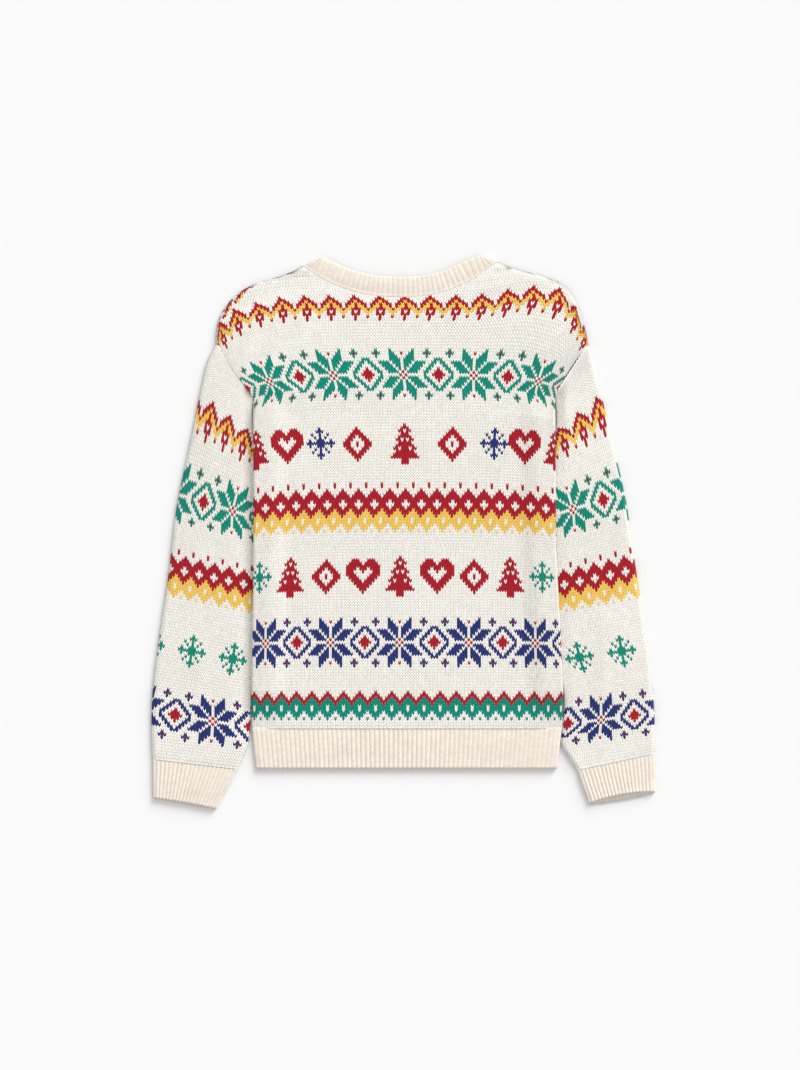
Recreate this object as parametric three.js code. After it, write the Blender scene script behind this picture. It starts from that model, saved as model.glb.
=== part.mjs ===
// Christmas sweater, lying flat on a table with its back up.
// Millimetres, +Z up. X runs across the body and Y up the body, from the middle of the hem.
// Every knitted piece is a wall of one thickness, and the lower layer rests flat on Z = 0.

import * as THREE from "three";

// Cloth
const WALL = 2.2;
const AIR = 0.5;
const SEAM = 0.3;
const STACK = 2 * WALL + AIR;
const MIDDLE = STACK / 2;
const EDGE_ROUND = STACK / 2;

// The body's side edges lie on the tucked sleeves, so they are lifted clear of them
const LIFT = STACK + 0.5;
const LIFT_FLAT = 19;
const LIFT_END = 48;

// Ribs
const RIB_HEIGHT = 0.8;
const HEM_RIBS = 66;
const CUFF_RIBS = 20;
const NECK_RIBS = 37;

// Hem rib, with its corners
const HEM_TOP = 51.6;
const HEM_TOP_LEFT = -190.1;
const HEM_TOP_RIGHT = 198.8;
const HEM_FOOT_LEFT = -185;
const HEM_FOOT_RIGHT = 192.5;

// Side edges of the body at the underarms and below
const BODY_SIDES = [
  { y: 51.6, left: -190.1, right: 198.8 },
  { y: 95, left: -189.8, right: 199.3 },
  { y: 161, left: -188.8, right: 196.8 },
  { y: 278, left: -187.5, right: 190.5 },
  { y: 374, left: -187.5, right: 190 },
  { y: 440, left: -187.9, right: 189.8 },
  { y: 465, left: -188.1, right: 189.4 },
];
const UNDERARM = 465;

// How much of the lift each height has
const SIDE_LIFT = [
  { y: 51.6, share: 0 },
  { y: 60, share: 0 },
  { y: 95, share: 1 },
  { y: 440, share: 1 },
  { y: 465, share: 0 },
];

// Armholes, as arcs from the shoulder tip to the underarm
const ARMHOLES = {
  left: { tip: [-234.4, 531.3], foot: [-188.1, 465], bow: -1.5 },
  right: { tip: [231.4, 530.3], foot: [189.4, 465], bow: 3.5 },
};

// Shoulder edges, from the tip to the corner of the neck
const SHOULDERS = {
  left: [
    { x: -234.4, y: 531.3 }, { x: -233.3, y: 553 }, { x: -227.5, y: 570.5 }, { x: -215.6, y: 586.8 },
    { x: -201.5, y: 598.8 }, { x: -181.9, y: 608 }, { x: -148.1, y: 617.5 }, { x: -125.2, y: 628.4 },
  ],
  right: [
    { x: 231.4, y: 530.3 }, { x: 228, y: 547 }, { x: 220.1, y: 574.5 }, { x: 208.5, y: 594.5 },
    { x: 195.6, y: 606.3 }, { x: 176.9, y: 614.6 }, { x: 153.1, y: 621 }, { x: 115.6, y: 633.8 },
  ],
};
const BACK_NECK_Y = 590;
const FRONT_NECK_Y = 538;
const NECK_ROUND = 2.4;
const BAND_WIDTH = 25.5;
const BAND_PEAKS = { left: [-102.3, 639.4], right: [98.2, 640.4] };

// Share of the body's width that each shoulder takes up
const SHOULDER_SHARE = 0.165;

// Rows of each sleeve from the armhole to the cuff, with their outer and inner ends
const SLEEVE_ROWS = {
  left: [
    { outer: [-234.4, 531.3], inner: [-188.1, 465] },
    { outer: [-247.6, 502.5], inner: [-188.9, 448] },
    { outer: [-254.5, 470], inner: [-187.9, 427] },
    { outer: [-267.5, 405], inner: [-178, 366] },
    { outer: [-281, 342], inner: [-172, 309.6] },
    { outer: [-293.4, 247], inner: [-172, 221] },
    { outer: [-306.5, 156.6], inner: [-180, 134] },
    { outer: [-312.6, 109], inner: [-190.6, 92] },
    { outer: [-315, 71.6], inner: [-191.5, 58] },
    { outer: [-315.1, 40], inner: [-194.6, 27] },
    { outer: [-313.9, 13.1], inner: [-207.1, 0.6] },
  ],
  right: [
    { outer: [231.4, 530.3], inner: [189.4, 465] },
    { outer: [240.5, 497], inner: [190.5, 448] },
    { outer: [249.5, 460], inner: [190, 424] },
    { outer: [263.5, 400], inner: [182, 366] },
    { outer: [276.5, 345], inner: [174, 312.6] },
    { outer: [290.8, 250], inner: [175, 228] },
    { outer: [306.2, 149.6], inner: [184, 134] },
    { outer: [311.3, 105], inner: [199.9, 93] },
    { outer: [313.6, 69], inner: [199.6, 58] },
    { outer: [314.4, 43.8], inner: [197.8, 31] },
    { outer: [314.3, 20.3], inner: [216.9, -0.5] },
  ],
};

// Cuffs, with the mouth of the upper layer set back where it stands open
const CUFFS = {
  left: {
    top: { outer: [-313.9, 12.8], inner: [-207.1, 0.3] },
    foot: { outer: [-313.3, -37], inner: [-234, -51] },
    setback: 1.2,
  },
  right: {
    top: { outer: [314.3, 20], inner: [216.9, -0.8] },
    foot: { outer: [314.8, -30], inner: [231.9, -44.3] },
    setback: 5.5,
  },
};

// Soft folds in the upper layer: a ridge from one point to another, fading out past its ends
const FOLD_OVERRUN = 0.1;
const FOLD_FADE = 0.35;
const FOLDS = [
  { from: [203, 500], to: [200, 425], width: 9, height: 2.2 },
  { from: [252, 205], to: [247, 80], width: 10, height: 1.6 },
  { from: [276, 330], to: [262, 110], width: 12, height: 1.2 },
  { from: [-222, 500], to: [-262, 250], width: 14, height: 1.3 },
  { from: [-250, 150], to: [-262, 60], width: 12, height: 1.2 },
  { from: [-160, 470], to: [-120, 300], width: 16, height: 1 },
  { from: [150, 455], to: [95, 300], width: 18, height: 1 },
  { from: [-60, 120], to: [90, 135], width: 18, height: 0.8 },
];

const COLOURS = { ground: "#ece6d8", rib: "#efe3cb" };

const lerp = (a, b, t) => a + (b - a) * t;

const mix = (p, q, t) => p.map((value, k) => lerp(value, q[k], t));

const smooth = (t) => {
  const s = THREE.MathUtils.clamp(t, 0, 1);
  return s * s * (3 - 2 * s);
};

// A table's value at a height, in a straight line between its rows
function lookUp(table, y, column) {
  const last = table.length - 1;
  const above = table.findIndex((row) => row.y >= y);
  const next = above < 0 ? last : Math.max(above, 1);
  const [low, high] = [table[next - 1], table[next]];
  const share = THREE.MathUtils.clamp((y - low.y) / (high.y - low.y), 0, 1);
  return lerp(low[column], high[column], share);
}

// A smooth curve through plan points
function curveThrough(points) {
  const places = points.map(([x, y]) => new THREE.Vector3(x, y, 0));
  const curve = new THREE.CatmullRomCurve3(places, false, "centripetal");
  return (t) => {
    const place = curve.getPoint(THREE.MathUtils.clamp(t, 0, 1));
    return [place.x, place.y];
  };
}

// A chord from a to b bowed to its left by a parabola
function arc(a, b, bow, t) {
  const [dx, dy] = [b[0] - a[0], b[1] - a[1]];
  const length = Math.hypot(dx, dy);
  const side = (4 * bow * t * (1 - t)) / length;
  return [lerp(a[0], b[0], t) - dy * side, lerp(a[1], b[1], t) + dx * side];
}

const armholeAt = (side, t) => {
  const { tip, foot, bow } = ARMHOLES[side];
  return arc(tip, foot, side === "left" ? bow : -bow, t);
};

// Height of the folds above the flat upper layer
function foldHeight([x, y]) {
  const heights = FOLDS.map(({ from, to, width, height }) => {
    const [dx, dy] = [to[0] - from[0], to[1] - from[1]];
    const along = ((x - from[0]) * dx + (y - from[1]) * dy) / (dx * dx + dy * dy);
    const away = Math.hypot(x - from[0] - along * dx, y - from[1] - along * dy);
    const start = smooth((along + FOLD_OVERRUN) / FOLD_FADE);
    const end = smooth((1 + FOLD_OVERRUN - along) / FOLD_FADE);
    return height * start * end * Math.exp(-((away / width) ** 2));
  });
  return heights.reduce((sum, height) => sum + height, 0);
}

// One closed wall between an outer and an inner grid of points, each a list of rows.
// A closed wall runs round on itself along its rows, and the rims join the first and last rows.
function wall(outer, inner, closed) {
  const columns = outer[0].length;
  const spans = closed ? columns : columns - 1;
  const innerStart = outer.length * columns;
  const out = (row, column) => row * columns + (column % columns);
  const into = (row, column) => innerStart + row * columns + (column % columns);
  const faces = [];
  const quad = (a, b, c, d) => faces.push(a, b, c, a, c, d);
  for (let column = 0; column < spans; column += 1) {
    for (let row = 0; row < outer.length - 1; row += 1) {
      quad(out(row, column), out(row, column + 1), out(row + 1, column + 1), out(row + 1, column));
    }
    for (let row = 0; row < inner.length - 1; row += 1) {
      quad(into(row, column), into(row + 1, column), into(row + 1, column + 1), into(row, column + 1));
    }
    const [topOut, topIn] = [outer.length - 1, inner.length - 1];
    quad(into(0, column), into(0, column + 1), out(0, column + 1), out(0, column));
    quad(out(topOut, column), out(topOut, column + 1), into(topIn, column + 1), into(topIn, column));
  }
  if (!closed) {
    for (let row = 0; row < outer.length - 1; row += 1) {
      quad(into(row, 0), out(row, 0), out(row + 1, 0), into(row + 1, 0));
      quad(out(row, spans), into(row, spans), into(row + 1, spans), out(row + 1, spans));
    }
  }
  return facingOut([...outer, ...inner].flat(), faces);
}

// A geometry whose faces point out, whichever way its rows ran
function facingOut(points, faces) {
  let volume = 0;
  for (let k = 0; k < faces.length; k += 3) {
    const [a, b, c] = [0, 1, 2].map((n) => new THREE.Vector3(...points[faces[k + n]]));
    volume += a.dot(b.cross(c));
  }
  if (volume < 0) {
    faces.reverse();
  }
  const geometry = new THREE.BufferGeometry();
  geometry.setAttribute("position", new THREE.Float32BufferAttribute(points.flat(), 3));
  geometry.setIndex(faces);
  geometry.computeVertexNormals();
  return geometry;
}

// Panels of the body

// Distances from a folded edge that carry its rounding and the lift, as shares of the width
const EDGE_COLUMNS = [0, 0.002, 0.0066, 0.025, 0.0505, 0.075, 0.1, 0.128];
const NECK_SHARE = 1 - 2 * SHOULDER_SHARE;
const NECK_NODES = [0, 0.018, 0.11, 0.23, 0.36, 0.5, 0.64, 0.77, 0.89, 0.982, 1];
const PANEL_COLUMNS = [
  ...EDGE_COLUMNS,
  ...NECK_NODES.map((node) => SHOULDER_SHARE + node * NECK_SHARE),
  ...EDGE_COLUMNS.map((u) => 1 - u).reverse(),
];
const BODY_WIDTH = 380;
const YOKE_LENGTH = 150;
const TORSO_HEIGHTS = [51.6, 60, 95, 128, 161, 200, 239, 278, 326, 374, 407, 440, 455, 465];
const YOKE_SHARES = [0.02, 0.15, 0.3, 0.45, 0.6, 0.73, 0.84, 0.93, 0.984, 0.995, 1];

// The panel's upper boundary from one shoulder tip to the other
function topEdge(u, neckY) {
  const shoulder = (side) => curveThrough(SHOULDERS[side].map(({ x, y }) => [x, y]));
  if (u <= SHOULDER_SHARE) {
    return shoulder("left")(u / SHOULDER_SHARE);
  }
  if (u >= 1 - SHOULDER_SHARE) {
    return shoulder("right")((1 - u) / SHOULDER_SHARE);
  }
  return neckline((u - SHOULDER_SHARE) / NECK_SHARE, neckY);
}

// A neckline from the left corner to the right one, as a rounded dip in straight steps
function neckline(t, neckY) {
  const [left, right] = [SHOULDERS.left.at(-1), SHOULDERS.right.at(-1)];
  const dipAt = (node) => {
    const dip = 1 - Math.abs(2 * node - 1) ** NECK_ROUND;
    return [lerp(left.x, right.x, node), lerp(lerp(left.y, right.y, node), neckY, dip)];
  };
  const next = Math.max(NECK_NODES.findIndex((node) => node >= t), 1);
  const [start, end] = [NECK_NODES[next - 1], NECK_NODES[next]];
  return mix(dipAt(start), dipAt(end), (t - start) / (end - start));
}

function torsoPoint(u, y) {
  return [lerp(lookUp(BODY_SIDES, y, "left"), lookUp(BODY_SIDES, y, "right"), u), y];
}

// The yoke is a patch between the underarm row, the armholes and the upper boundary
function yokePoint(u, v, neckY) {
  const foot = torsoPoint(u, UNDERARM);
  const top = topEdge(u, neckY);
  const sides = mix(armholeAt("left", 1 - v), armholeAt("right", 1 - v), u);
  const corners = mix(
    mix(ARMHOLES.left.foot, ARMHOLES.right.foot, u),
    mix(ARMHOLES.left.tip, ARMHOLES.right.tip, u),
    v,
  );
  return mix(foot, top, v).map((value, k) => value + sides[k] - corners[k]);
}

// Distance from the nearest folded edge: a side below the underarm or a shoulder
function foldedDistance(u, station) {
  const side = Math.min(u, 1 - u);
  if (station.torso) {
    return side * BODY_WIDTH;
  }
  return side <= SHOULDER_SHARE ? (1 - station.v) * YOKE_LENGTH : EDGE_ROUND;
}

const edgeShare = (distance) => {
  const inwards = THREE.MathUtils.clamp(distance / EDGE_ROUND, 0, 1);
  return Math.sqrt(1 - (1 - inwards) ** 2);
};

function bodyLift(u, station) {
  if (!station.torso) {
    return 0;
  }
  const distance = Math.min(u, 1 - u) * BODY_WIDTH;
  const fade = 1 - smooth((distance - LIFT_FLAT) / (LIFT_END - LIFT_FLAT));
  return LIFT * fade * lookUp(SIDE_LIFT, station.y, "share");
}

const PANEL_STATIONS = [
  ...TORSO_HEIGHTS.map((y) => ({ torso: true, y })),
  ...YOKE_SHARES.map((v) => ({ torso: false, v })),
];

// A folded edge's inner face starts one wall in from the edge
const drawnIn = (distance, depth) => {
  const rounded = depth > 0 && distance < EDGE_ROUND;
  return rounded ? depth + distance * 0.1 : distance;
};

function panelPlan(u, station, neckY, depth) {
  if (station.torso) {
    const nearer = drawnIn(Math.min(u, 1 - u) * BODY_WIDTH, depth) / BODY_WIDTH;
    return torsoPoint(u < 0.5 ? nearer : 1 - nearer, station.y);
  }
  const distance = (1 - station.v) * YOKE_LENGTH;
  const onShoulder = Math.min(u, 1 - u) <= SHOULDER_SHARE;
  const inwards = onShoulder ? drawnIn(distance, depth) : distance;
  return yokePoint(u, 1 - inwards / YOKE_LENGTH, neckY);
}

// One panel of the body: side +1 is the upper layer and -1 the lower one
function bodyPanel(side, neckY) {
  const surface = (depth) =>
    PANEL_STATIONS.map((station) =>
      PANEL_COLUMNS.map((u) => {
        const plan = panelPlan(u, station, neckY, depth);
        const share = edgeShare(foldedDistance(u, station));
        const level = lerp(SEAM / 2, MIDDLE - depth, share);
        const lift = bodyLift(u, station);
        const inLift = station.torso && Math.min(u, 1 - u) * BODY_WIDTH < LIFT_END;
        const folds = side > 0 && !inLift ? foldHeight(plan) * share : 0;
        return [...plan, MIDDLE + side * level + lift + folds];
      }),
    );
  return wall(surface(0), surface(WALL), false);
}

// Flattened tubes: sleeves, cuffs and the hem rib

// Round a tube from its left edge over the upper layer to its right edge and back below
function tubeStations(upperShares, lowerShares) {
  const turns = [0.25, 0.5, 0.75];
  return [
    ...upperShares.map((share) => ({ share, level: 1 })),
    ...turns.map((turn) => ({ share: 1, turn })),
    ...lowerShares.map((share) => ({ share, level: -1 })),
    ...turns.map((turn) => ({ share: 0, turn: 1 - turn })),
  ];
}

const evenShares = (count) => Array.from({ length: count + 1 }, (_, k) => k / count);

// One ring of a flattened tube between two plan points
function tubeRing(section, stations, depth, raise) {
  const { from, to } = section;
  const length = Math.hypot(to[0] - from[0], to[1] - from[1]);
  const margin = EDGE_ROUND / length;
  const bow = section.bow ?? 0;
  return stations.map((station, index) => {
    if (station.turn === undefined) {
      const share = lerp(margin, 1 - margin, station.share);
      const flat = arc(from, to, bow, share);
      const plan = station.level > 0 ? section.upper?.(flat, station.share) ?? flat : flat;
      const top = station.level > 0 ? raise(plan, index, depth) : 0;
      return [...plan, MIDDLE + station.level * (MIDDLE - depth) + top];
    }
    const angle = Math.PI * (0.5 - station.turn);
    const reach = (EDGE_ROUND - (depth > 0 ? WALL : 0)) * Math.cos(angle);
    const share = station.share > 0.5 ? 1 - margin + reach / length : margin - reach / length;
    return [...arc(from, to, bow, share), MIDDLE + Math.sin(angle) * (MIDDLE - depth)];
  });
}

function tube(outerSections, innerSections, stations, raise) {
  const surface = (sections, depth) => sections.map((section) => tubeRing(section, stations, depth, raise));
  return wall(surface(outerSections, 0), surface(innerSections, WALL), true);
}

// Grooves between ribs: every other point of the outer face lies lower
const ribRaise = (upperCount) => (plan, index, depth) => {
  const groove = index < upperCount && index % 2 === 0;
  return groove && depth === 0 ? -RIB_HEIGHT : 0;
};

const SLEEVE_STEPS = [1, 2, 2, 2, 3, 3, 2, 1, 1, 1];
const SLEEVE_UPPER = 10;
const SLEEVE_LOWER = 3;
const TUCKED_SHARE = 0.2;

// Sections down one sleeve, in smooth curves through the table's rows
function sleeveSections(side) {
  const rows = SLEEVE_ROWS[side];
  const outer = curveThrough(rows.map((row) => row.outer));
  const inner = curveThrough(rows.map((row) => row.inner));
  const between = (steps, row) => evenShares(steps).slice(0, -1).map((part) => row + part);
  const places = SLEEVE_STEPS.flatMap(between);
  return [...places, rows.length - 1].map((place, k) => {
    const t = place / (rows.length - 1);
    const ends = [outer(t), inner(t)];
    const armhole = ARMHOLES[side].bow * (1 - smooth(place / 2));
    const shifted = k === 0 ? clearOfArmhole(side, ends) : ends;
    const [from, to] = side === "left" ? shifted : [...shifted].reverse();
    return { from, to, bow: armhole };
  });
}

// The armhole ring stands off the body's cut edge by the seam gap
function clearOfArmhole(side, ends) {
  const [tip, foot] = ends;
  const length = Math.hypot(foot[0] - tip[0], foot[1] - tip[1]);
  const sign = side === "left" ? 1 : -1;
  const away = [(sign * (foot[1] - tip[1])) / length, (-sign * (foot[0] - tip[0])) / length];
  return ends.map(([x, y]) => [x + away[0] * 2 * SEAM, y + away[1] * 2 * SEAM]);
}

function sleeve(side) {
  const stations = tubeStations(evenShares(SLEEVE_UPPER), evenShares(SLEEVE_LOWER).reverse());
  const sections = sleeveSections(side);
  const tuck = (share) => (side === "left" ? 1 - share : share);
  const raise = (plan, index) => foldHeight(plan) * smooth(tuck(stations[index].share) / TUCKED_SHARE - 1);
  return tube(sections, sections, stations, raise);
}

// Down a ribbed tube, with the upper layer's mouth set back towards the middle of its width
function ribbedSections(top, foot, count, setback) {
  return evenShares(count).map((down, k) => {
    const upper = (flat, share) => {
      const back = k === count ? setback * Math.sin(Math.PI * share) ** 0.6 : 0;
      return [flat[0], flat[1] + back];
    };
    return { from: mix(top.from, foot.from, down), to: mix(top.to, foot.to, down), upper };
  });
}

function ribbedTube(top, foot, ribs, lower, setback) {
  const upper = evenShares(2 * ribs);
  const stations = tubeStations(upper, evenShares(lower).reverse());
  const outer = ribbedSections(top, foot, 2, setback);
  return tube(outer, [outer[0], outer.at(-1)], stations, ribRaise(upper.length));
}

function cuff(side) {
  const { top, foot, setback } = CUFFS[side];
  const [from, to] = side === "left" ? ["outer", "inner"] : ["inner", "outer"];
  const ends = (row) => ({ from: row[from], to: row[to] });
  return ribbedTube(ends(top), ends(foot), CUFF_RIBS, 6, setback);
}

function hemRib() {
  const top = { from: [HEM_TOP_LEFT, HEM_TOP - SEAM], to: [HEM_TOP_RIGHT, HEM_TOP - SEAM] };
  const foot = { from: [HEM_FOOT_LEFT, 0], to: [HEM_FOOT_RIGHT, 0] };
  return ribbedTube(top, foot, HEM_RIBS, 16, 0);
}

// Neckband: a strip round the neck, folded over at the two peaks

const BAND_STEP = 0.01;
const BAND_PEAK_START = 0.7;

// The band's seam and free edge at a share of the way across, on either layer
function bandEnds(t, neckY) {
  const near = [t - BAND_STEP, t, t + BAND_STEP].map((at) => THREE.MathUtils.clamp(at, 0, 1));
  const [before, here, after] = near.map((at) => neckline(at, neckY));
  const [dx, dy] = [after[0] - before[0], after[1] - before[1]];
  const length = Math.hypot(dx, dy);
  const normal = [-dy / length, dx / length];
  const seam = [here[0] + normal[0] * SEAM, here[1] + normal[1] * SEAM];
  const free = [here[0] + normal[0] * BAND_WIDTH, here[1] + normal[1] * BAND_WIDTH];
  const nearPeak = smooth((Math.abs(2 * t - 1) - BAND_PEAK_START) / (1 - BAND_PEAK_START));
  const peak = BAND_PEAKS[t < 0.5 ? "left" : "right"];
  return { seam, free: mix(free, peak, nearPeak) };
}

function bandRing(across, depth) {
  const backShares = evenShares(2 * NECK_RIBS);
  const frontShares = evenShares(16).reverse();
  const turns = [0.25, 0.5, 0.75];
  const flat = (t, neckY, level, groove) => {
    const { seam, free } = bandEnds(t, neckY);
    const plan = mix(seam, free, across);
    return [...plan, MIDDLE + level * (MIDDLE - depth) - groove];
  };
  const folded = (t, turn) => {
    const angle = Math.PI * (0.5 - turn);
    const { seam, free } = bandEnds(t, BACK_NECK_Y);
    const plan = mix(seam, free, across);
    const reach = (EDGE_ROUND - (depth > 0 ? WALL : 0)) * Math.cos(angle) * (t < 0.5 ? -1 : 1);
    return [plan[0] + reach, plan[1], MIDDLE + Math.sin(angle) * (MIDDLE - depth)];
  };
  const groove = (k) => (depth === 0 && k % 2 === 0 ? RIB_HEIGHT : 0);
  return [
    ...backShares.map((t, k) => flat(t, BACK_NECK_Y, 1, groove(k))),
    ...turns.map((turn) => folded(1, turn)),
    ...frontShares.map((t) => flat(t, FRONT_NECK_Y, -1, 0)),
    ...turns.map((turn) => folded(0, 1 - turn)),
  ];
}

function neckband() {
  const outer = [0, 0.5, 1].map((across) => bandRing(across, 0));
  const inner = [0, 1].map((across) => bandRing(across, WALL));
  return wall(outer, inner, true);
}

function knitted(name, geometry, colour) {
  const material = new THREE.MeshStandardMaterial({ color: colour, roughness: 0.95, metalness: 0 });
  const mesh = new THREE.Mesh(geometry, material);
  mesh.name = name;
  return mesh;
}

const sweater = new THREE.Group();
sweater.add(
  knitted("back_panel", bodyPanel(1, BACK_NECK_Y), COLOURS.ground),
  knitted("front_panel", bodyPanel(-1, FRONT_NECK_Y), COLOURS.ground),
  knitted("sleeve_left", sleeve("left"), COLOURS.ground),
  knitted("sleeve_right", sleeve("right"), COLOURS.ground),
  knitted("cuff_left", cuff("left"), COLOURS.rib),
  knitted("cuff_right", cuff("right"), COLOURS.rib),
  knitted("hem_rib", hemRib(), COLOURS.rib),
  knitted("neckband", neckband(), COLOURS.rib),
);

// The origin goes to the middle of the whole outline, on the table
const middle = new THREE.Box3().setFromObject(sweater).getCenter(new THREE.Vector3());
sweater.position.set(-middle.x, -middle.y, 0);

export default sweater;
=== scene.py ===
# Christmas sweater lying flat with its back up, knitted stitch by stitch on the frame's solids.
# All sizes are millimetres in the plan of the sweater: X across, Y up from the hem, Z up.

import math

import bpy
import numpy as np
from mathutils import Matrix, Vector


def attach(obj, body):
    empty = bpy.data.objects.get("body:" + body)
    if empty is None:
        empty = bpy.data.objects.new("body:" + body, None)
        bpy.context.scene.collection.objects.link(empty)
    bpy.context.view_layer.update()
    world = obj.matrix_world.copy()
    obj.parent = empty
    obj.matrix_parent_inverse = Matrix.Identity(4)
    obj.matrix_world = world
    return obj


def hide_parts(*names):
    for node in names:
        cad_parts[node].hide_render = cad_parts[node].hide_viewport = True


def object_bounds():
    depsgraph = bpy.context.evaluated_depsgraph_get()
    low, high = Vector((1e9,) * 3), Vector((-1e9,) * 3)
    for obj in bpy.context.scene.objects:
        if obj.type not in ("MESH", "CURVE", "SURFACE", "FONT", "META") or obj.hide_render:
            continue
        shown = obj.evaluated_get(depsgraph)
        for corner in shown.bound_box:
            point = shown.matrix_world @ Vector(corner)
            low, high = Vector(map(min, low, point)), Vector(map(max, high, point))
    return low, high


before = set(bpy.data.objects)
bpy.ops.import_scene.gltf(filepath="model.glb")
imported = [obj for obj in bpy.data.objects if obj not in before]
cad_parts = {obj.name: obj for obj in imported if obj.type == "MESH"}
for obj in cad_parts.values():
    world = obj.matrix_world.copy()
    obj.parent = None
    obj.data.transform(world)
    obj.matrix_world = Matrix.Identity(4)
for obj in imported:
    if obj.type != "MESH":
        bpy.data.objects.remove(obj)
CAD_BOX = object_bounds()

# The plan's origin is the middle of the hem; the frame's is the middle of the outline
PLAN_LEFT = -315.1
PLAN_FOOT = -51.0
ORIGIN = np.array([CAD_BOX[0][0] * 1000 - PLAN_LEFT, CAD_BOX[0][1] * 1000 - PLAN_FOOT, 0.0])

# Cloth
WALL = 2.2
AIR = 0.5
STACK = 2 * WALL + AIR
MIDDLE = STACK / 2
# Over what distance a folded edge rounds off, and the upper layer's edge beside the sleeves
EDGE_SOFT = 5.0
FLANK_SOFT = 2.5
# The fold line lies a little below the middle, so the upper layer covers it
EDGE_TUCK = 0.8
# Height of the neckband's seam over the two layers
BAND_START = 0.55
# Stitches squeezed to less than this area, in square millimetres, are left out
SLIVER = 0.05
# A sleeve's faces with both ends narrower than this in all are left out
NARROW = 0.02
# The front is drawn in at its edges, so it doesn't show beyond the back
FRONT_INSET = 0.9
FRONT_INSET_REACH = 4.0
# The first row goes on a little way into the ribs
HEM_LAP = 1.5
# The body's sides are lifted over the sleeves, flat at first and then down to nothing
LIFT = STACK + 0.5
LIFT_FLAT = 19.0
LIFT_END = 48.0
# A flattened tube's upper layer stays at least this far above its middle
LAYER_GAP = 0.4
# The upper layer swells away from its edges
PUFF = 1.3
PUFF_REACH = 34.0
# The upper layer stands clear of the solid, and sinks along the armhole seam
BACK_CLEARANCE = 0.25
SEAM_DIP = 0.2
SLEEVE_SEAM_DIP = 0.3
SEAM_REACH = 3.0
NECK_BLEND = 8.0

# Gauge
WALE = 3.25
ROW = 3.675
HEM_TOP = 51.6
# How far a stitch's middle hangs below its sides, in rows
CHEVRON = 0.75
# Wales of the body's chart on each side of its middle, and of a sleeve's
BODY_WALES = 68
SLEEVE_CHART_WALES = 60

# Body outline
BODY_SIDES = {
    "y": [51.6, 95, 161, 278, 374, 440, 465],
    "left": [-190.1, -189.8, -188.8, -187.5, -187.5, -187.9, -188.1],
    "right": [198.8, 199.3, 196.8, 190.5, 190, 189.8, 189.4],
}
UNDERARM_FOOT = 465.0
# How much of the lift the body's sides have at each height
SIDE_LIFT = {"y": [51.6, 60, 95, 440, 465], "share": [0, 0, 1, 1, 0]}
ARMHOLES = {
    "left": {"tip": (-234.4, 531.3), "foot": (-188.1, 465), "bow": -1.5},
    "right": {"tip": (231.4, 530.3), "foot": (189.4, 465), "bow": -3.5},
}
SHOULDERS = {
    "left": [
        (-234.4, 531.3), (-233.3, 553), (-227.5, 570.5), (-215.6, 586.8),
        (-201.5, 598.8), (-181.9, 608), (-148.1, 617.5), (-125.2, 628.4),
    ],
    "right": [
        (231.4, 530.3), (228, 547), (220.1, 574.5), (208.5, 594.5),
        (195.6, 606.3), (176.9, 614.6), (153.1, 621), (115.6, 633.8),
    ],
}
BACK_NECK_Y = 590.0
FRONT_NECK_Y = 538.0
NECK_ROUND = 2.4
BAND_WIDTH = 25.5
BAND_PEAKS = {"left": (-102.3, 639.4), "right": (98.2, 640.4)}
# The neckband laid out flat for the bake, one side of the neck long
BAKE_BAND_LENGTH = 240
BAKE_BAND_WIDTH = 30

# Knit rows of the body: at the underarm, at the shoulder tip and in all
UNDERARM_ROW = 116
TIP_ROW = 143
LAST_ROW = 157
LEVELS = {"row": [0, 121, 137.5, 147, 157], "y": [51.6, 496.3, 560.1, 590.5, 628]}

# How far the ends of each row drop and over what reach, how its middle sways, and how its end wales crowd
ROW_SHAPE = {
    "row": [0, 29, 52, 75, 97, 116, 130, 143, 156],
    "drop": [0, 1.9, 4.5, 7.5, 9, 13, 0, 0, 0],
    "reach": [60, 60, 57, 55, 50, 40, 33, 26, 22],
    "sway": [0, 0, 0, 0, 0, -0.001, -0.01, -0.017, -0.012],
    "crowd": [0.3, 0.3, 0.25, 0.05, 0.15, 0.55, 0.6, 0.5, 0.3],
    "crowd_wales": [12, 12, 12, 12, 12, 14, 10, 6, 6],
}
# Wales left and right of the pattern's middle at each row's ends
ROW_COLUMNS = {
    "row": [0, 29, 60, 75, 108, 116, 143],
    "left": [-58, -58, -57.5, -58.4, -59, -64.3, -69],
    "right": [64.5, 64.5, 62, 58.5, 60, 64.3, 67.5],
}
# The shoulder edge's rows, as a share of its length, and the wales that end there
SHOULDER_ROWS = {
    "row": [143, 146, 148, 150, 153, 155.6],
    "share": [0, 0.1, 0.2, 0.36, 0.7, 1],
    "left": [-69, -67, -63, -56, -43, -33],
    "right": [67.5, 66, 62, 55, 41, 31],
}

# The right shoulder is pushed up a little, so its rows rise before they fall; the left one sinks a little.
# From the row "fades" on, a bump dies out
RISE_FADE_ROWS = 6
RISES = [
    {"x": 168.0, "width": 48.0, "height": 15.0, "first_row": 122, "last_row": 142, "fades": 400},
    {"x": 203.0, "width": 21.0, "height": 12.0, "first_row": 122, "last_row": 140, "fades": 149},
    {"x": -188.0, "width": 26.0, "height": -4.5, "first_row": 140, "last_row": 146, "fades": 149},
]

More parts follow.
